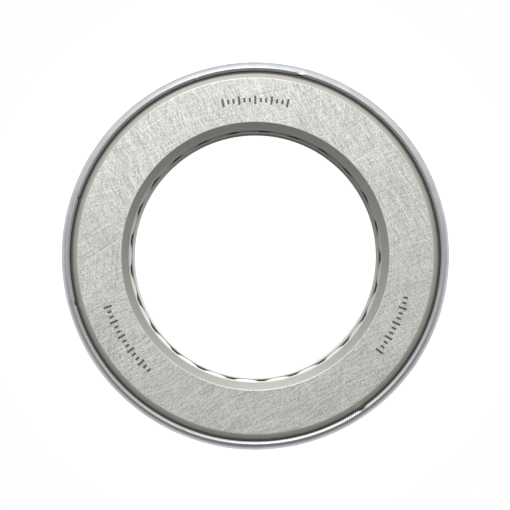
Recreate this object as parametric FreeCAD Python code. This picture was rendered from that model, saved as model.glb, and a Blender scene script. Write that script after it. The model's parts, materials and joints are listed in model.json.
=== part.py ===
import FreeCAD, Part
import math
import os

# Tapered roller thrust bearing for a steering knuckle, full complement (no cage).
#
# Four kinds of piece, stacked along +Z:
#   lower_washer    rests on the knuckle; conical raceway falling outwards, guide rib at its rim
#   roller_01..25   cone frustums, small end inwards, all aiming at one apex on the axis
#   upper_washer    flat raceway underneath, flat marked face on top
#   retaining_band  pressed sheet ring, both rims curled in over a step on each washer,
#                   loose on both of them
#
# Frame: millimetres, +Z up along the bearing axis, origin at the centre of the bottom face.
# All cones share one apex, the point where the axis meets the plane that the rollers' tops
# lie in, so every roller rolls on both raceways without sliding.

# ---------------------------------------------------------------- driving dimensions (mm)

pin_diameter = 50.0            # steering pin that passes through the bearing
bore_clearance = 0.5           # radial gap between that pin and the washers' bores
outside_diameter = 78.5        # over the retaining band
overall_height = 20.0          # face to face
upper_washer_thickness = 5.0   # flat face to flat raceway

roller_count = 25              # the rollers nearly touch each other all the way round
first_roller_angle = 6.7       # degrees, anticlockwise from +X
roller_gap = 0.10              # between neighbouring rollers at their large ends
roller_setback = 0.10          # small ends stand this far outside the bore
roller_edge = 0.25             # chamfer round both ends of a roller

rib_thickness = 2.2            # guide rib, at its foot
rib_height = 2.6               # above the raceway at the rib's foot
relief_width = 0.55            # groove in the corner between raceway and rib
relief_depth = 0.45
relief_round = 0.25

sheet_thickness = 0.6          # retaining band
bend_radius = 2.2              # outside of the curled rims
lip_angle = 50.0               # degrees that each rim is turned in from upright
lip_drop = 0.8                 # a rim's highest edge lies this far below the washer's face
lip_overlap = 1.0              # a rim reaches this far in over the washer's shoulder
cut_slope = 28.0               # degrees that a rim's cut edge falls inwards from level

bore_chamfer = 1.4             # at the two outer mouths of the bore
outer_chamfer = 1.1            # round the two flat faces
shoulder_chamfer = 0.5         # on the step under each rim
inner_chamfer = 0.2            # on the washers' edges that face the rollers
edge_round = 0.12              # broken sharp edges of the flat faces

mark_depth = 0.10              # plain index ticks sunk in the upper face
mark_width = 0.44
long_mark = 1.7
short_mark = 0.9
mark_inset = 4.4               # from the flat face's outer edge to the ticks' middle
mark_step = 2.0                # degrees from one tick to the next
mark_groups = ((90.0, 13), (213.0, 15), (333.5, 12))   # middle angle, number of ticks

# ------------------------------------------------------------------------ clearances (mm)

race_clearance = 0.02          # roller to each raceway
end_clearance = 0.10           # roller's large end to the guide rib
band_clearance = 0.35          # band wall to the washers' shoulders
lip_gap = 0.50                 # rim to the washer's neck, seen from above
retaining_play = 0.8           # rim's inner edge to the shoulder below it

# ---------------------------------------------------------------------- worked-out values

bore_radius = pin_diameter / 2 + bore_clearance
band_outer_radius = outside_diameter / 2
band_inner_radius = band_outer_radius - sheet_thickness
shoulder_radius = band_inner_radius - band_clearance
lip_radius = shoulder_radius - lip_overlap
neck_radius = lip_radius - lip_gap
face_radius = neck_radius - outer_chamfer
rib_foot_radius = shoulder_radius - rib_thickness

lip_tilt = math.radians(lip_angle)
cut_tilt = math.radians(cut_slope)
cut_length = sheet_thickness / math.cos(lip_tilt - cut_tilt)
edge_rise = cut_length * math.sin(cut_tilt)           # height of a rim's cut edge
edge_reach = cut_length * math.cos(cut_tilt)          # its width, seen from above
shoulder_depth = lip_drop + edge_rise + retaining_play

# Cones with a common apex touch their neighbours at this half angle.
touching_angle = math.atan(math.sin(math.pi / roller_count))
half_angle = touching_angle - math.atan(roller_gap / 2 / rib_foot_radius)
raceway_slope = 2 * half_angle
raceway_z = overall_height - upper_washer_thickness
apex_z = raceway_z - race_clearance


def lower_raceway_z(radius):
    """Height of the conical raceway, just clear of the rollers."""
    drop = radius * math.tan(raceway_slope)
    return apex_z - drop - race_clearance / math.cos(raceway_slope)


# The rib's face is square to the line from the apex to the middle of the rib's height.
rib_foot_z = lower_raceway_z(rib_foot_radius)
rib_foot_distance = math.hypot(rib_foot_radius, apex_z - rib_foot_z)
rib_face_lean = raceway_slope - math.atan(rib_height / 2 / rib_foot_distance)
rib_top_z = rib_foot_z + rib_height
rib_top_radius = rib_foot_radius + rib_height * math.tan(rib_face_lean)

# Each roller's large end is part of a ball round the apex that just clears the rib.
apex_to_rib = (rib_foot_radius * math.cos(rib_face_lean)
               + (apex_z - rib_foot_z) * math.sin(rib_face_lean))
large_end_distance = apex_to_rib - end_clearance
small_end_distance = ((bore_radius + roller_setback - roller_edge * math.sin(half_angle))
                      * math.cos(half_angle) / math.cos(raceway_slope))


# ------------------------------------------------------------------------------- geometry

def rounded_outline(corners):
    """Closed wire through (radius, z, round) corners; a round of 0 leaves the corner sharp."""
    starts = []
    ends = []
    arcs = []
    for index, (radius, z, rounding) in enumerate(corners):
        corner = FreeCAD.Vector(radius, 0, z)
        before = corners[index - 1]
        after = corners[(index + 1) % len(corners)]
        towards_before = FreeCAD.Vector(before[0], 0, before[1]).sub(corner).normalize()
        towards_after = FreeCAD.Vector(after[0], 0, after[1]).sub(corner).normalize()
        if rounding == 0:
            starts.append(corner)
            ends.append(corner)
            arcs.append(None)
            continue
        half_corner = towards_before.getAngle(towards_after) / 2
        tangent = rounding / math.tan(half_corner)
        inwards = (towards_before + towards_after).normalize()
        crown = corner + inwards * (rounding / math.sin(half_corner) - rounding)
        starts.append(corner + towards_before * tangent)
        ends.append(corner + towards_after * tangent)
        arcs.append(crown)
    edges = []
    for index, crown in enumerate(arcs):
        if crown is not None:
            edges.append(Part.Arc(starts[index], crown, ends[index]).toShape())
        following = starts[(index + 1) % len(corners)]
        edges.append(Part.LineSegment(ends[index], following).toShape())
    return Part.Wire(edges)


def ring(corners):
    """Solid of revolution about the bearing axis."""
    section = Part.Face(rounded_outline(corners))
    return section.revolve(FreeCAD.Vector(0, 0, 0), FreeCAD.Vector(0, 0, 1), 360)


def index_marks():
    """The blocks that sink three groups of plain ticks, every third one long."""
    middle_radius = face_radius - mark_inset
    blocks = []
    for middle_angle, count in mark_groups:
        for number in range(count):
            length = long_mark if number % 3 == 0 else short_mark
            angle = middle_angle + mark_step * (number - (count - 1) / 2)
            corner = FreeCAD.Vector(middle_radius - length / 2, -mark_width / 2,
                                    overall_height - mark_depth)
            block = Part.makeBox(length, mark_width, 2 * mark_depth, corner)
            block.rotate(FreeCAD.Vector(0, 0, 0), FreeCAD.Vector(0, 0, 1), angle)
            blocks.append(block)
    return blocks


def upper_washer():
    """Flat face up, flat raceway down, stepped rim for the retaining band."""
    shoulder_z = overall_height - shoulder_depth
    blank = ring([
        (bore_radius + bore_chamfer, overall_height, edge_round),
        (face_radius, overall_height, edge_round),
        (neck_radius, overall_height - outer_chamfer, edge_round),
        (neck_radius, shoulder_z, 0),
        (shoulder_radius - shoulder_chamfer, shoulder_z, 0),
        (shoulder_radius, shoulder_z - shoulder_chamfer, 0),
        (shoulder_radius, raceway_z + inner_chamfer, 0),
        (shoulder_radius - inner_chamfer, raceway_z, 0),
        (bore_radius + inner_chamfer, raceway_z, edge_round),
        (bore_radius, raceway_z + inner_chamfer, edge_round),
        (bore_radius, overall_height - bore_chamfer, edge_round),
    ])
    return blank.cut(index_marks())


def lower_washer():
    """Flat face down, conical raceway with its relief groove, guide rib, stepped rim."""
    raceway_start = bore_radius + inner_chamfer
    relief_inner = rib_foot_radius - relief_width * math.cos(raceway_slope)
    relief_top = rib_foot_z + relief_width * math.cos(rib_face_lean)
    relief_side = rib_foot_radius + relief_width * math.sin(rib_face_lean)
    return ring([
        (face_radius, 0, edge_round),
        (bore_radius + bore_chamfer, 0, edge_round),
        (bore_radius, bore_chamfer, edge_round),
        (bore_radius, lower_raceway_z(raceway_start) - inner_chamfer, edge_round),
        (raceway_start, lower_raceway_z(raceway_start), edge_round),
        (relief_inner, lower_raceway_z(relief_inner), 0),
        (rib_foot_radius, rib_foot_z - relief_depth, relief_round),
        (relief_side + relief_depth, relief_top - relief_width / 2, relief_round),
        (relief_side, relief_top, 0),
        (rib_top_radius, rib_top_z, edge_round),
        (shoulder_radius - inner_chamfer, rib_top_z, 0),
        (shoulder_radius, rib_top_z - inner_chamfer, 0),
        (shoulder_radius, shoulder_depth + shoulder_chamfer, 0),
        (shoulder_radius - shoulder_chamfer, shoulder_depth, 0),
        (neck_radius, shoulder_depth, 0),
        (neck_radius, outer_chamfer, edge_round),
    ])


def retaining_band():
    """Upright sheet wall with both rims turned in; each cut edge falls inwards."""
    outer_edge_radius = lip_radius + edge_reach
    outer_edge_z = lip_drop
    inner_edge_z = lip_drop + edge_rise
    outer_bend_z = outer_edge_z + (band_outer_radius - outer_edge_radius) / math.tan(lip_tilt)
    inner_bend_z = inner_edge_z + (band_inner_radius - lip_radius) / math.tan(lip_tilt)
    inside_bend = bend_radius - sheet_thickness
    top = overall_height
    return ring([
        (outer_edge_radius, outer_edge_z, 0),
        (band_outer_radius, outer_bend_z, bend_radius),
        (band_outer_radius, top - outer_bend_z, bend_radius),
        (outer_edge_radius, top - outer_edge_z, 0),
        (lip_radius, top - inner_edge_z, 0),
        (band_inner_radius, top - inner_bend_z, inside_bend),
        (band_inner_radius, inner_bend_z, inside_bend),
        (lip_radius, inner_edge_z, 0),
    ])


def roller_along_x():
    """One roller lying on +X with the common apex at the origin."""
    small_radius = small_end_distance * math.tan(half_angle)
    cone_start = small_end_distance + roller_edge
    edge_angle = half_angle - roller_edge / large_end_distance
    cone_end = large_end_distance - roller_edge

    def around_apex(distance, angle):
        return FreeCAD.Vector(distance * math.cos(angle), distance * math.sin(angle), 0)

    corners = [
        FreeCAD.Vector(small_end_distance, 0, 0),
        FreeCAD.Vector(small_end_distance, small_radius - roller_edge, 0),
        FreeCAD.Vector(cone_start, cone_start * math.tan(half_angle), 0),
        around_apex(cone_end, half_angle),
        around_apex(large_end_distance, edge_angle),
    ]
    tip = around_apex(large_end_distance, 0)
    edges = [Part.LineSegment(start, end).toShape() for start, end in zip(corners, corners[1:])]
    crown = around_apex(large_end_distance, edge_angle / 2)
    edges.append(Part.Arc(corners[-1], crown, tip).toShape())
    edges.append(Part.LineSegment(tip, corners[0]).toShape())
    section = Part.Face(Part.Wire(edges))
    return section.revolve(FreeCAD.Vector(0, 0, 0), FreeCAD.Vector(1, 0, 0), 360)


def placed_roller(blank, number):
    """Copy number (from 1) of the roller, tipped down and turned to its place in the circle."""
    angle = first_roller_angle + (number - 1) * 360 / roller_count
    tip_down = FreeCAD.Rotation(FreeCAD.Vector(0, 1, 0), math.degrees(half_angle))
    turn = FreeCAD.Rotation(FreeCAD.Vector(0, 0, 1), angle)
    roller = blank.copy()
    roller.Placement = FreeCAD.Placement(FreeCAD.Vector(0, 0, apex_z), turn.multiply(tip_down))
    return roller


def build():
    """Every piece of the bearing, by node name."""
    pieces = {
        "lower_washer": lower_washer(),
        "upper_washer": upper_washer(),
        "retaining_band": retaining_band(),
    }
    blank = roller_along_x()
    for number in range(1, roller_count + 1):
        pieces[f"roller_{number:02d}"] = placed_roller(blank, number)
    return pieces


os.makedirs("parts", exist_ok=True)
for node, piece in build().items():
    solid = piece.Solids[0]
    solid.exportStep(f"parts/{node}.step")
    print(f"{node}: {len(piece.Solids)} solid, {solid.Volume:.1f} mm3, valid {solid.isValid()}")

# Turning rates for the joints, per turn of the upper washer on a fixed lower washer: the
# rollers' circle follows it, and each roller spins on its own axis within that circle.
circle_ratio = 1 / (2 * math.cos(half_angle) ** 2)
spin_ratio = -math.cos(raceway_slope) / (math.sin(raceway_slope) * math.cos(half_angle))
print(f"half angle {math.degrees(half_angle):.5f} deg, apex z {apex_z:.3f} mm")
print(f"circle ratio {circle_ratio:.6f}, roller spin ratio {spin_ratio:.6f}")
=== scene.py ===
# %% [markdown]
# # A tapered roller thrust bearing, dressed around its frame
# The frame is the imported engineering model: two washers, a full circle of tapered rollers and
# a pressed retaining band, all in metres, with the bearing axis along +Z and the origin in the
# middle of the bottom face. The frame is loaded first, because every position below is read
# from it instead of being typed in. Its outer box is kept, and printed at the end.

# %% Load the frame
import json
import math

import bpy
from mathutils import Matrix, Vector


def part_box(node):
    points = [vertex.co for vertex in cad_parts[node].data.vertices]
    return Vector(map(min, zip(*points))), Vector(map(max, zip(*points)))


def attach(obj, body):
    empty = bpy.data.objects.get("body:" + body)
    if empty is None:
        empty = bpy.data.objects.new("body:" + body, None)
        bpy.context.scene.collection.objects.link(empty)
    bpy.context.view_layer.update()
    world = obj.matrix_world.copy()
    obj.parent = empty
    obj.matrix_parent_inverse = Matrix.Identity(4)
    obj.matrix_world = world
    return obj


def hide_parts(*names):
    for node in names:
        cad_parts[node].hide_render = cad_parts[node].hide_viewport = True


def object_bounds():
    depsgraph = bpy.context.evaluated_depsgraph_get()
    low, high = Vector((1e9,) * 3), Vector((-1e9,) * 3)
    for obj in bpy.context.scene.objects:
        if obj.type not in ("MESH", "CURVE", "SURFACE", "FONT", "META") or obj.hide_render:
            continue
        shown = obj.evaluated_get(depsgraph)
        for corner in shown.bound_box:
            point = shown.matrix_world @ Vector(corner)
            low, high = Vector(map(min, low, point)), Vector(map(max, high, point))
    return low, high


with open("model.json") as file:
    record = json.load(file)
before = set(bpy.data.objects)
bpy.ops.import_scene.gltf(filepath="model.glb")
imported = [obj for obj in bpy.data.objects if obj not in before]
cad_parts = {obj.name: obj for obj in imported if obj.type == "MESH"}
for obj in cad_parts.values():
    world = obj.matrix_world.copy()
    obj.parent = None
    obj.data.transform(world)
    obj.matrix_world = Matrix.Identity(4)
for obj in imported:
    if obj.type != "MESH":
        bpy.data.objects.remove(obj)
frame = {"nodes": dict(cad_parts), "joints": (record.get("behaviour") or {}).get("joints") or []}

MM = 0.001
cad_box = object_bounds()
top_z = cad_box[1][2]
outer_radius = cad_box[1][0]
roller_names = sorted(name for name in frame["nodes"] if name.startswith("roller_"))
print(f"frame: {len(frame['nodes'])} nodes, {len(roller_names)} of them rollers")
print(f"{2 * outer_radius / MM:.1f} mm over the band and {top_z / MM:.1f} mm tall")

# %% [markdown]
# ## Colours and nodes
# Colours are written as the sRGB hex values that a paint program shows. Cycles calculates in
# linear light, so one function turns them over. One more function adds any shader node with its
# settings and its inputs, which keeps every finish below readable as a short recipe.

# %% Helpers for materials
def linear(hex_colour):
    """sRGB hex, such as "c8c6c0", to the linear RGBA that a shader wants."""
    channels = [int(hex_colour[place:place + 2], 16) / 255 for place in (0, 2, 4)]
    straight = [c / 12.92 if c <= 0.04045 else ((c + 0.055) / 1.055) ** 2.4 for c in channels]
    return (*straight, 1.0)


def new_material(name):
    """An empty material: its node tree, and its shader already joined to the output."""
    material = bpy.data.materials.new(name)
    material.use_nodes = True
    tree = material.node_tree
    tree.nodes.clear()
    shader = tree.nodes.new("ShaderNodeBsdfPrincipled")
    add(tree, "ShaderNodeOutputMaterial", {"Surface": shader.outputs["BSDF"]})
    return material, tree, shader


def fill(tree, node, inputs):
    """Fill a node's inputs: an output of another node is linked, anything else is a value."""
    for name, value in inputs.items():
        if isinstance(value, bpy.types.NodeSocket):
            tree.links.new(value, node.inputs[name])
        else:
            node.inputs[name].default_value = value


def add(tree, kind, inputs=None, output=0, **settings):
    """Add a node, set its properties, fill its inputs, and return one of its outputs."""
    node = tree.nodes.new(kind)
    for name, value in settings.items():
        setattr(node, name, value)
    fill(tree, node, inputs or {})
    return node.outputs[output] if node.outputs else None


# %% [markdown]
# ## Where on the bearing a finish is
# Every pattern below is measured in millimetres in the object's own frame, so the numbers in it
# are the real sizes of streaks and marks. Some of them also ask how far from the bearing axis a
# point is, how high it is, or whether its surface lies flat, so each of those has a function.

# %% Point, distance from the axis, height and flatness
LEANING = 0.90
LYING_FLAT = 0.98
RELIEF_DEPTH = 0.01 * MM


def ramp(tree, value, start, end, low=0.0, high=1.0):
    """The value's way from start to end, redrawn as the way from low to high, and no further."""
    return add(tree, "ShaderNodeMapRange", {
        "Value": value, "From Min": start, "From Max": end, "To Min": low, "To Max": high,
    })


def surface_point(tree):
    """The surface point in the object's own frame, in millimetres."""
    here = add(tree, "ShaderNodeTexCoord", output="Object")
    return add(tree, "ShaderNodeVectorMath", {0: here, "Scale": 1 / MM}, operation="SCALE")


def along(tree, vector, axis):
    """One coordinate of a vector: "X", "Y" or "Z"."""
    return add(tree, "ShaderNodeSeparateXYZ", {0: vector}, output=axis)


def axis_distance(tree, point):
    """How far a point is from the bearing axis."""
    across = add(tree, "ShaderNodeVectorMath", {0: point, 1: (1, 1, 0)}, operation="MULTIPLY")
    return add(tree, "ShaderNodeVectorMath", {0: across}, output="Value", operation="LENGTH")


def how_flat(tree):
    """1 where the surface faces straight up or down, 0 where it leans or stands."""
    upright = along(tree, add(tree, "ShaderNodeTexCoord", output="Normal"), "Z")
    size = add(tree, "ShaderNodeMath", {0: upright}, operation="ABSOLUTE")
    return ramp(tree, size, LEANING, LYING_FLAT)


def noise(tree, place, per_mm=1.0, detail=2.0):
    """Soft random patches around one half, so many of them to a millimetre."""
    return add(tree, "ShaderNodeTexNoise", {"Vector": place, "Scale": per_mm, "Detail": detail})


def joined(tree, values, operation):
    """Several outputs taken together by one operation, such as "ADD" or "MULTIPLY"."""
    total = values[0]
    for value in values[1:]:
        total = add(tree, "ShaderNodeMath", {0: total, 1: value}, operation=operation)
    return total


def mean_of(tree, values):
    """The average of several outputs."""
    total = joined(tree, values, "ADD")
    return add(tree, "ShaderNodeMath", {0: total, 1: len(values)}, operation="DIVIDE")


def blend(tree, amount, below, above):
    """Mix two colours, each a hex value or another node's output."""
    colours = [linear(c) if isinstance(c, str) else c for c in (below, above)]
    return add(tree, "ShaderNodeMix", {"Factor": amount, 6: colours[0], 7: colours[1]},
               output=2, data_type="RGBA")


def fine_relief(tree, height, strength):
    """A bump of a hundredth of a millimetre."""
    return add(tree, "ShaderNodeBump", {
        "Height": height, "Strength": strength, "Distance": RELIEF_DEPTH,
    })


# %% [markdown]
# ## Ground bearing steel for the washers
# The real washers are through-hardened chrome steel. Their flat faces are surface ground, and
# then slide over one another in the box, which leaves fine streaks that cross in many
# directions; their chamfers and bore are turned, so those carry faint rings instead. Under soft
# light a flat face looks like pale, slightly warm satin. Streaks are noise stretched along one
# direction, and several directions are added up. One family of streaks rules the -Y half of the
# face and another the +Y half, as where a part was ground across in two settings. A real
# grinding line is about 0.02 mm wide, too fine to show, so the streaks are drawn a sixth of a
# millimetre wide, the width that the eye merges them into. A grain of tiny glints is as strong
# as the streaks, and a few longer scratches, dark and bright, lie over both.

# %% Streaks and scratches
STREAK_WIDTH = 0.16
STREAK_LENGTH = 7.0
NEAR_STREAKS = (22, 31, 44)
FAR_STREAKS = (106, 119, 131)
TURNOVER = 14.0
SCRATCH_WIDTH = 0.10
SCRATCH_LENGTH = 18.0
SCRATCH_ANGLES = (14, 33, 118, 86)
SPECKLE_SIZE = 0.24
GRAIN_SWING = (0.38, 0.62)


def streaks(tree, point, angle, width, length):
    """Noise stretched along one direction in the plane of the washer's face, 0 to 1."""
    turned = add(tree, "ShaderNodeMapping", {
        "Vector": point, "Rotation": (0, 0, math.radians(-angle)), "Location": (angle, angle / 3, 0),
    })
    cells = add(tree, "ShaderNodeVectorMath", {
        0: turned, 1: (1 / length, 1 / width, 1 / width),
    }, operation="MULTIPLY")
    return noise(tree, cells, detail=1.0)


def ground_grain(tree, point):
    """The grain of a ground and handled flat face, about 0 to 1 with its middle at one half."""
    speckle = noise(tree, point, 1 / SPECKLE_SIZE)
    families = []
    for angles in (NEAR_STREAKS, FAR_STREAKS):
        layers = [streaks(tree, point, angle, STREAK_WIDTH, STREAK_LENGTH) for angle in angles]
        families.append(mean_of(tree, [*layers, speckle, speckle]))
    change = ramp(tree, along(tree, point, "Y"), -TURNOVER, TURNOVER)
    grain = add(tree, "ShaderNodeMix", {
        0: change, 2: families[0], 3: families[1],
    }, data_type="FLOAT")
    return ramp(tree, grain, *GRAIN_SWING)


def long_scratches(tree, point, edge, full):
    """Rare long lines: only the part of each stretched noise past an edge value is kept."""
    lines = []
    for angle in SCRATCH_ANGLES:
        layer = streaks(tree, point, angle, SCRATCH_WIDTH, SCRATCH_LENGTH)
        lines.append(ramp(tree, layer, edge, full))
    return joined(tree, lines, "MAXIMUM")


# %% [markdown]
# The etched ticks are shallow pockets in the frame's own mesh. An etched floor is dull and dark,
# so the finish turns dark just below the face, in the ring that the ticks stand in. The steps under
# the band and the lower washer's raceway between the rollers are darkened as painted shade, for
# the shade in the gap and between the parts: each washer gets its own steel, told from which
# radius outwards and from which height upwards the painted shade lies, and the colour of that
# shade. The broken edges of the flat face are burnished by every part that they have touched, and
# carry a painted highlight as thin bright lines, for the light that their edge breaks catch.

# %% Ground bearing steel
TICK_RING = (28.0, 34.0)
TICK_FLOOR = (0.05, 0.20)
SHADE_FADE = 0.14
BURNISH_HIGHLIGHT_EDGES = (26.90, 35.70)
BURNISH_HIGHLIGHT_WIDTH = 0.08
BURNISH_HIGHLIGHT_DEPTH = 0.10
TURNED_RINGS_PER_MM = 6.0
DARK_SCRATCHES = (0.64, 0.78)
BRIGHT_SCRATCHES = (0.63, 0.78)
BRIGHT_SCRATCHES_SHIFT = (40, 70, 0)
SATIN_ROUGHNESS = (0.36, 0.28)


def ring_line(tree, radius, middle, width):
    """1 on a circle about the axis, falling to 0 at half the width to each side."""
    away = add(tree, "ShaderNodeMath", {0: radius, 1: middle}, operation="SUBTRACT")
    size = add(tree, "ShaderNodeMath", {0: away}, operation="ABSOLUTE")
    return ramp(tree, size, width / 2, 0.0)


def tick_floors(tree, radius, height, top):
    """1 on the sunk floors of the ticks, 0 elsewhere."""
    limits = (
        (height, "GREATER_THAN", top - TICK_FLOOR[1]),
        (height, "LESS_THAN", top - TICK_FLOOR[0]),
        (radius, "GREATER_THAN", TICK_RING[0]),
        (radius, "LESS_THAN", TICK_RING[1]),
    )
    tests = []
    for value, operation, limit in limits:
        tests.append(add(tree, "ShaderNodeMath", {0: value, 1: limit}, operation=operation))
    return joined(tree, tests, "MULTIPLY")


def ground_steel(name, top, shade_radius, shade_height, shade_colour):
    """Pale satin steel with streaks on its flat faces, rings on its turned ones and a zone of painted
    shade.
    """
    material, tree, shader = new_material(name)
    point = surface_point(tree)
    radius = axis_distance(tree, point)
    height = along(tree, point, "Z")
    flat = how_flat(tree)
    grain = ground_grain(tree, point)
    ring_place = add(tree, "ShaderNodeCombineXYZ", {0: radius, 1: height})
    rings = noise(tree, ring_place, TURNED_RINGS_PER_MM, detail=1.0)

    satin = blend(tree, grain, "9c9b96", "f6f5f0")
    satin = blend(tree, long_scratches(tree, point, *DARK_SCRATCHES), satin, "85847f")
    elsewhere = add(tree, "ShaderNodeVectorMath", {0: point, 1: BRIGHT_SCRATCHES_SHIFT})
    satin = blend(tree, long_scratches(tree, elsewhere, *BRIGHT_SCRATCHES), satin, "ffffff")
    turned = blend(tree, rings, "bfbeb7", "d1d0c9")
    colour = blend(tree, flat, turned, satin)

    # Painted highlight: thin bright lines on the flat face's burnished broken edges, for the light that
    # the edge breaks catch.
    upper = ramp(tree, height, top - 2 * BURNISH_HIGHLIGHT_DEPTH, top - BURNISH_HIGHLIGHT_DEPTH)
    for edge in BURNISH_HIGHLIGHT_EDGES:
        line = ring_line(tree, radius, edge, 2 * BURNISH_HIGHLIGHT_WIDTH)
        colour = blend(tree, joined(tree, [line, upper], "MULTIPLY"), colour, "f2f1ee")
    # Painted shade: darker outwards of one radius and above one height, for the shade in the gap under
    # the band or between the rollers.
    outside = ramp(tree, radius, shade_radius, shade_radius + SHADE_FADE)
    above = ramp(tree, height, shade_height, shade_height + SHADE_FADE)
    colour = blend(tree, joined(tree, [outside, above], "MULTIPLY"), colour, shade_colour)
    colour = blend(tree, tick_floors(tree, radius, height, top), colour, "6a6762")

    texture = add(tree, "ShaderNodeMix", {0: flat, 2: rings, 3: grain}, data_type="FLOAT")
    fill(tree, shader, {
        "Base Color": colour,
        "Metallic": 1.0,
        "Roughness": ramp(tree, grain, 0.0, 1.0, *SATIN_ROUGHNESS),
        "Normal": fine_relief(tree, texture, 0.15),
    })
    return material


# Upper washer: painted shade on the step under the band. Lower washer: painted shade on its raceway
# between the rollers.
upper_steel = ground_steel(
    "ground_bearing_steel", top_z / MM, shade_radius=36.72, shade_height=0.0, shade_colour="625f59",
)
lower_steel = ground_steel(
    "ground_steel_with_painted_shade_raceway", top_z / MM, shade_radius=25.56, shade_height=2.0, shade_colour="8f8d87",
)

# %% [markdown]
# ## Superfinished steel for the rollers
# Rollers are the smoothest pieces in a bearing. They are ground and then honed while they spin,
# so what little texture they have runs round each roller. All the rollers aim at one apex on the
# bearing axis, so lines round any roller are lines of equal distance from that apex, and one
# material fits all of them wherever they stand. The apex is where a roller's own axis, which the
# frame gives as a joint, meets the bearing axis.

# %% Superfinished roller steel
HONING_PITCH = 0.18
HONED_CLOUDS_PER_MM = 0.6
HONED_ROUGHNESS = (0.16, 0.26)
roller_joint = next(joint for joint in frame["joints"] if joint["child"] == roller_names[0])
joint_place = Vector(roller_joint["pos_m"])
joint_axis = Vector(roller_joint["axis"])
apex_height = joint_place.z - joint_axis.z * joint_place.x / joint_axis.x
print(f"the rollers' axes meet {apex_height / MM:.2f} mm up the bearing axis")


def honed_steel(name, apex):
    """Bright steel with faint lines round each roller."""
    material, tree, shader = new_material(name)
    point = surface_point(tree)
    reach = add(tree, "ShaderNodeVectorMath", {0: point, 1: (0, 0, apex)}, output="Value",
                operation="DISTANCE")
    lines = noise(tree, add(tree, "ShaderNodeCombineXYZ", {0: reach}), 1 / HONING_PITCH)
    cloud = noise(tree, point, HONED_CLOUDS_PER_MM, detail=3.0)
    fill(tree, shader, {
        "Base Color": blend(tree, cloud, "c9c8c5", "dddcd9"),
        "Metallic": 1.0,
        "Roughness": ramp(tree, lines, 0.3, 0.7, *HONED_ROUGHNESS),
        "Normal": fine_relief(tree, lines, 0.2),
    })
    return material


roller_steel = honed_steel("superfinished_roller_steel", apex_height / MM)

# %% Put the steel on the frame's own pieces
def finish_node(name, material):
    """Give one frame node its material in place of the plain one it was loaded with."""
    node = frame["nodes"][name]
    node.data.materials.clear()
    node.data.materials.append(material)


finish_node("lower_washer", lower_steel)
finish_node("upper_washer", upper_steel)
for roller in roller_names:
    finish_node(roller, roller_steel)
print(f"steel on 2 washers and {len(roller_names)} rollers")

# %% [markdown]
# ## Bright sheet steel for the retaining band
# The band is pressed from cold-rolled sheet, so it is brighter and bluer than the ground
# washers. Its skin mirrors softly, with faint drawing lines round it from the forming rolls and
# hardly visible rubbed clouds. Its cut edge was sheared, and the blade leaves fine slanting tear
# marks right round the rim: real ones are about a tenth of a millimetre apart, too fine to show,
# so they are drawn about half a millimetre apart. The inside is drawn dark, as painted shade
# under the curled rims and in the gap.

# %% Cold-rolled sheet, its sheared edge and its inside darkened as painted shade
TEAR_MARKS = 500
TEAR_SLANT = 9.0
TEAR_CLOUDS_PER_MM = 0.25
EDGE_ROUGHNESS = 0.30
DRAWING_PITCH = 0.30
DRAWING_SPREAD = 20.0
SHEET_CLOUDS_PER_MM = 0.35
SHEET_ROUGHNESS = (0.36, 0.30)


def rolled_sheet(name, dull, bright):
    """Slightly blue sheet with drawing lines and soft scuffing, between a dull and a bright colour."""
    material, tree, shader = new_material(name)
    point = surface_point(tree)
    line_place = add(tree, "ShaderNodeVectorMath", {
        0: point, 1: (1 / DRAWING_SPREAD, 1 / DRAWING_SPREAD, 1 / DRAWING_PITCH),
    }, operation="MULTIPLY")
    scuffing = mean_of(tree, [noise(tree, point, SHEET_CLOUDS_PER_MM), noise(tree, line_place)])
    wear = ramp(tree, scuffing, 0.35, 0.65)
    fill(tree, shader, {
        "Base Color": blend(tree, wear, dull, bright),
        "Metallic": 1.0,
        "Roughness": ramp(tree, wear, 0.0, 1.0, *SHEET_ROUGHNESS),
    })
    return material


def sheared_edge(name):
    """The cut edge of the sheet: slanting tear marks counted round the rim."""
    material, tree, shader = new_material(name)
    point = surface_point(tree)
    radius = axis_distance(tree, point)
    angle = add(tree, "ShaderNodeMath", {
        0: along(tree, point, "Y"), 1: along(tree, point, "X"),
    }, operation="ARCTAN2")
    turns = add(tree, "ShaderNodeMath", {0: angle, 1: TEAR_MARKS}, operation="MULTIPLY")
    phase = add(tree, "ShaderNodeMath", {
        0: radius, 1: TEAR_SLANT, 2: turns,
    }, operation="MULTIPLY_ADD")
    wave = add(tree, "ShaderNodeMath", {0: phase}, operation="SINE")
    uneven = ramp(tree, noise(tree, point, TEAR_CLOUDS_PER_MM), 0.4, 0.6)
    marks = joined(tree, [wave, uneven], "MULTIPLY")
    fill(tree, shader, {
        "Base Color": blend(tree, ramp(tree, marks, -1.0, 1.0), "989b9d", "e2e4e5"),
        "Metallic": 1.0,
        "Roughness": EDGE_ROUGHNESS,
        "Normal": fine_relief(tree, marks, 0.3),
    })
    return material


band_steel = rolled_sheet("cold_rolled_sheet_steel", "c7cbce", "d8dbde")
edge_steel = sheared_edge("sheared_sheet_edge")
# The inside of the band: a dark sheet as painted shade under the curled rims.
inside_shade_steel = rolled_sheet("sheet_steel_painted_shade_inside", "4d4c49", "7a7974")

# %% [markdown]
# ## The retaining band
# On the real bearing a strip of sheet is rolled into a ring and both rims are curled in over the
# washers by a spinning tool, so the wall is not a perfect cylinder: it ripples by a few
# hundredths of a millimetre, and the curled rim has small knocks from handling. A lathe profile
# would give the perfect ring of the frame. Instead it is modelled as the sheet was made: a tube
# for the outer skin, its rims extruded inwards, the two folds bevelled round, the skin rippled,
# and only then given its thickness, inwards, so that the band never leaves the frame's box.

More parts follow.
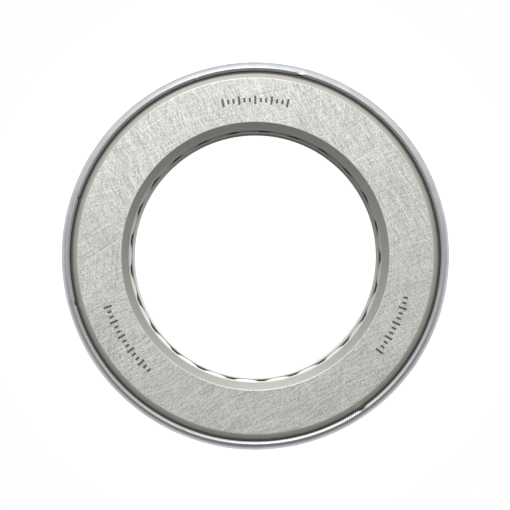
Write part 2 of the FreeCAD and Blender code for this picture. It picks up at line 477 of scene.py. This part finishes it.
# %% Helpers for modelling
def start_piece(name, add_primitive, **settings):
    """Add one primitive with nothing else selected, name it, and return it."""
    bpy.ops.object.select_all(action="DESELECT")
    add_primitive(**settings)
    piece = bpy.context.active_object
    piece.name = name
    piece.data.name = name
    return piece


def pick(piece, kind, test):
    """In edit mode, select only the vertices or edges whose every corner passes the test."""
    bpy.ops.mesh.select_mode(type={"vertices": "VERT", "edges": "EDGE"}[kind])
    bpy.ops.mesh.select_all(action="DESELECT")
    bpy.ops.object.mode_set(mode="OBJECT")
    points = [vertex.co for vertex in piece.data.vertices]
    for element in getattr(piece.data, kind):
        corners = [element.index] if kind == "vertices" else element.vertices
        element.select = all(test(points[corner]) for corner in corners)
    bpy.ops.object.mode_set(mode="EDIT")


def radius_of(point):
    """Distance from the bearing axis."""
    return math.hypot(point.x, point.y)


def apply_modifier(piece, kind, **settings):
    """Add one modifier, set it up and apply it."""
    modifier = piece.modifiers.new(kind.lower(), kind)
    for setting, value in settings.items():
        setattr(modifier, setting, value)
    bpy.context.view_layer.objects.active = piece
    bpy.ops.object.modifier_apply(modifier=modifier.name)


# %% The sheet's sizes
SHEET_THICKNESS = 0.6 * MM
BEND_RADIUS = 2.2 * MM
RIM_TURN = math.radians(50)
RIM_REACH = 1.379 * MM
CUT_SLOPE = math.radians(28)
band_low, band_high = (Vector(corner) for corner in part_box("retaining_band"))
rim_rise = RIM_REACH / math.tan(RIM_TURN)
bend_length = BEND_RADIUS * math.tan(RIM_TURN / 2)
fold_low = band_low.z + rim_rise
fold_high = band_high.z - rim_rise
print(f"the band's folds are {fold_low / MM:.2f} and {fold_high / MM:.2f} mm up before they are rounded")

# %% The outer skin: a tube with its rims turned in
STEPS_ROUND = 480
WALL_ROWS = 10
FOLD_STEPS = 8
NEAR = 0.01 * MM

band = start_piece(
    "rolled_band", bpy.ops.mesh.primitive_cylinder_add, vertices=STEPS_ROUND, radius=outer_radius,
    depth=fold_high - fold_low, location=(0, 0, (fold_high + fold_low) / 2), end_fill_type="NOTHING",
)
bpy.ops.object.transform_apply(location=True, rotation=True, scale=True)
bpy.ops.object.mode_set(mode="EDIT")
for height, rise in ((fold_high, rim_rise), (fold_low, -rim_rise)):
    pick(band, "edges", lambda point: abs(point.z - height) < NEAR)
    bpy.ops.mesh.extrude_region_move(TRANSFORM_OT_translate={"value": (0, 0, rise)})
    shrink = (outer_radius - RIM_REACH) / outer_radius
    bpy.ops.transform.resize(value=(shrink, shrink, 1), center_override=(0, 0, height + rise))
for height in (fold_high, fold_low):
    pick(band, "edges", lambda point: abs(point.z - height) < NEAR)
    bpy.ops.mesh.bevel(offset=bend_length, segments=FOLD_STEPS, profile=0.5, affect="EDGES")
for row in range(1, WALL_ROWS):
    cut = fold_low + bend_length + (fold_high - fold_low - 2 * bend_length) * row / WALL_ROWS
    bpy.ops.mesh.select_all(action="SELECT")
    bpy.ops.mesh.bisect(plane_co=(0, 0, cut), plane_no=(0, 0, 1))
bpy.ops.object.mode_set(mode="OBJECT")
print(f"outer skin: {len(band.data.vertices)} points")

# %% [markdown]
# The knocks struck the tip of the curled rim, inwards and down, so the points nearest to each
# one are pushed that way and the sheet round them follows softly.

# %% Knocks, ripple and thickness
RIPPLE_DEPTH = 0.10 * MM
RIPPLE_SIZE = 9.0 * MM
KNOCK_SPOT = 0.35 * MM
KNOCK_REACH = 0.6 * MM
KNOCK_DROP = 0.6
KNOCKS = (
    (20, 0.06), (50, 0.08), (76, 0.24), (108, 0.10),
    (162, 0.10), (195, 0.12), (248, 0.06), (305, 0.08),
)

bpy.ops.object.mode_set(mode="EDIT")
for angle, depth in KNOCKS:
    direction = Vector((math.cos(math.radians(angle)), math.sin(math.radians(angle)), 0))
    struck = direction * (outer_radius - RIM_REACH) + Vector((0, 0, band_high.z))
    pick(band, "vertices", lambda point: (point - struck).length < KNOCK_SPOT)
    push = (-direction + Vector((0, 0, -KNOCK_DROP))) * depth * MM
    bpy.ops.transform.translate(value=push, use_proportional_edit=True,
                                proportional_edit_falloff="SMOOTH", proportional_size=KNOCK_REACH)
bpy.ops.object.mode_set(mode="OBJECT")

ripple = bpy.data.textures.new("sheet_ripple", "CLOUDS")
ripple.noise_scale = RIPPLE_SIZE
apply_modifier(band, "DISPLACE", texture=ripple, texture_coords="LOCAL", strength=RIPPLE_DEPTH,
               mid_level=1.0)
for material in (band_steel, inside_shade_steel, edge_steel):
    band.data.materials.append(material)
# The inner skin takes the painted-shade steel, and the rim takes the cut edge.
apply_modifier(band, "SOLIDIFY", thickness=SHEET_THICKNESS, offset=-1, use_even_offset=True,
               material_offset=1, material_offset_rim=2)

# %% [markdown]
# Solidify leaves each cut edge square to the sheet, but the real blade cut it at a shallower
# slope. So the inner line of each rim's tip is moved along the sheet, out past its square place.
# Last, every sharp edge is broken a little, because a knife edge never catches the light.

# %% Slanting cut and broken edges
TIP_DEPTH = 0.12 * MM
TIP_REACH = 0.10 * MM
EDGE_BREAK = 0.07 * MM
SHARP_CORNER = math.radians(50)
SMOOTH_CORNER = math.radians(35)

bpy.ops.object.mode_set(mode="EDIT")
square_drop = SHEET_THICKNESS * math.sin(RIM_TURN)
tip_radius = outer_radius - RIM_REACH - SHEET_THICKNESS * math.cos(RIM_TURN)
trim = SHEET_THICKNESS * math.tan(RIM_TURN - CUT_SLOPE)
stretch = (tip_radius - trim * math.sin(RIM_TURN)) / tip_radius
for tip_z, lift in ((band_high.z - square_drop, trim), (band_low.z + square_drop, -trim)):
    pick(band, "vertices", lambda point: (abs(point.z - tip_z) < TIP_DEPTH
                                          and radius_of(point) < tip_radius + TIP_REACH))
    bpy.ops.transform.translate(value=(0, 0, lift * math.cos(RIM_TURN)))
    bpy.ops.transform.resize(value=(stretch, stretch, 1), center_override=(0, 0, tip_z))
bpy.ops.object.mode_set(mode="OBJECT")
apply_modifier(band, "BEVEL", width=EDGE_BREAK, segments=2, limit_method="ANGLE",
               angle_limit=SHARP_CORNER)
bpy.ops.object.shade_smooth_by_angle(angle=SMOOTH_CORNER)
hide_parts("retaining_band")
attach(band, "retaining_band")
finish_node("retaining_band", band_steel)
print(f"rolled band: {len(band.data.polygons)} faces")

# %% [markdown]
# ## Floor and light
# The bearing lies on a small round light board, as small machine parts often do to be shown.
# Steel shows its surroundings rather than its own colour, so the board and the room are drawn as
# the steel should see them. The board glows evenly outside the bearing; inside the bore its glow
# is painted darker towards its +Y side, as painted shade from the washers. The room is bright
# towards +Y and falls evenly to dark towards -Y, has a white floor, and one soft box nearly
# overhead that puts the slow shading on the flat face. What the camera sees directly, board and
# room alike, is white.

# %% Board
BOARD_RADIUS = 60 * MM
BOARD_GLOW = 0.9
BORE_RADIUS = 25.5 * MM
BORE_GLOW = (0.11, 1.75)
BORE_LIT_SIDE = Vector((-0.2, -1.0, 0)).normalized()
BORE_FALLOFF = 1.8
BORE_MARGIN = 3 * MM
BOARD_DROP = 0.02 * MM
SHOWN_GLOW = 0.88

floor = start_piece("board", bpy.ops.mesh.primitive_circle_add, vertices=96, radius=BOARD_RADIUS,
                    fill_type="NGON", location=(0, 0, -BOARD_DROP))
board_paint = bpy.data.materials.new("light_board")
board_paint.use_nodes = True
board_tree = board_paint.node_tree
board_tree.nodes.clear()
board_point = surface_point(board_tree)
across = add(board_tree, "ShaderNodeVectorMath", {0: board_point, 1: BORE_LIT_SIDE}, output="Value",
             operation="DOT_PRODUCT")
# Painted shade: inside the bore the glow falls from the lit side towards +Y.
shade = ramp(board_tree, across, -BORE_RADIUS / MM, BORE_RADIUS / MM)
shade = add(board_tree, "ShaderNodeMath", {0: shade, 1: BORE_FALLOFF}, operation="POWER")
bore_glow = ramp(board_tree, shade, 0.0, 1.0, *BORE_GLOW)
in_bore = add(board_tree, "ShaderNodeMath", {
    0: axis_distance(board_tree, board_point), 1: (BORE_RADIUS + BORE_MARGIN) / MM,
}, operation="LESS_THAN")
glow = add(board_tree, "ShaderNodeMix", {0: in_bore, 2: BOARD_GLOW, 3: bore_glow}, data_type="FLOAT")
seen = add(board_tree, "ShaderNodeLightPath", output="Is Camera Ray")
matt = add(board_tree, "ShaderNodeBsdfDiffuse", {"Color": linear("e8e8e8")})
lamp = add(board_tree, "ShaderNodeEmission", {"Strength": SHOWN_GLOW})
shown = add(board_tree, "ShaderNodeAddShader", {0: matt, 1: lamp})
lighting = add(board_tree, "ShaderNodeEmission", {"Strength": glow})
board_surface = add(board_tree, "ShaderNodeMixShader", {0: seen, 1: lighting, 2: shown})
add(board_tree, "ShaderNodeOutputMaterial", {"Surface": board_surface})
floor.data.materials.append(board_paint)

# %% Room
SIDE_LIGHT = 0.50
SIDE_CONTRAST = 2.6
CEILING_LIGHT = 0.17
CEILING_EDGE = 0.5
FLOOR_LIGHT = 0.85
FLOOR_EDGE = (-0.02, -0.25)
SOFT_BOX = Vector((-0.10, 0.44, 0.89)).normalized()
SOFT_BOX_LIGHT = 0.97
SOFT_BOX_EDGE = math.cos(math.radians(31))
SOFT_BOX_FULL = math.cos(math.radians(8))

world = bpy.data.worlds.new("studio")
bpy.context.scene.world = world
world.use_nodes = True
sky = world.node_tree
sky.nodes.clear()
way = add(sky, "ShaderNodeTexCoord", output="Generated")
upward = along(sky, way, "Z")
slope = add(sky, "ShaderNodeMath", {0: SIDE_CONTRAST, 1: along(sky, way, "Y")}, operation="POWER")
ceiling = ramp(sky, upward, CEILING_EDGE, 1.0, 0.0, CEILING_LIGHT)
walls = add(sky, "ShaderNodeMath", {0: slope, 1: SIDE_LIGHT, 2: ceiling}, operation="MULTIPLY_ADD")
nearness = add(sky, "ShaderNodeVectorMath", {0: way, 1: SOFT_BOX}, output="Value",
               operation="DOT_PRODUCT")
box_light = add(sky, "ShaderNodeMapRange", {
    "Value": nearness, "From Min": SOFT_BOX_EDGE, "From Max": SOFT_BOX_FULL, "To Max": SOFT_BOX_LIGHT,
}, interpolation_type="SMOOTHSTEP")
above = joined(sky, [walls, box_light], "ADD")
below = ramp(sky, upward, *FLOOR_EDGE)
room = add(sky, "ShaderNodeMix", {0: below, 2: above, 3: FLOOR_LIGHT}, data_type="FLOAT")
direct = add(sky, "ShaderNodeLightPath", output="Is Camera Ray")
strength = add(sky, "ShaderNodeMix", {0: direct, 2: room, 3: 1.0}, data_type="FLOAT")
background = add(sky, "ShaderNodeBackground", {"Color": linear("ffffff"), "Strength": strength})
add(sky, "ShaderNodeOutputWorld", {"Surface": background})

# %% Key light
KEY_PLACE = Vector((-0.10, 0.46, 0.34))
KEY_SIZE = 0.30
KEY_POWER = 0.45

key_light = start_piece("key_light", bpy.ops.object.light_add, type="AREA", location=KEY_PLACE)
key_light.data.shape = "SQUARE"
key_light.data.size = KEY_SIZE
key_light.data.energy = KEY_POWER
key_aim = Vector((0, 0, top_z / 2)) - KEY_PLACE
key_light.rotation_euler = key_aim.to_track_quat("-Z", "Y").to_euler()

# %% [markdown]
# ## Camera
# The bearing is looked at straight down its axis with a fairly long lens, so the bore's far
# The camera is raised a given height above the top face.

# %% Camera
CAMERA_HEIGHT = 325 * MM
CAMERA_SHIFT = Vector((-0.07 * MM, 0.21 * MM, 0))
LENS = 114.5
camera_data = bpy.data.cameras.new("camera")
camera_data.lens = LENS
camera_data.sensor_width = 36.0
camera_data.clip_start = 0.01
camera = bpy.data.objects.new("camera", camera_data)
bpy.context.scene.collection.objects.link(camera)
camera.location = Vector((0, 0, top_z + CAMERA_HEIGHT)) + CAMERA_SHIFT
bpy.context.scene.camera = camera
bpy.context.scene.view_settings.view_transform = "Standard"

# %% Print the frame's box
print(f"frame box {cad_box}")
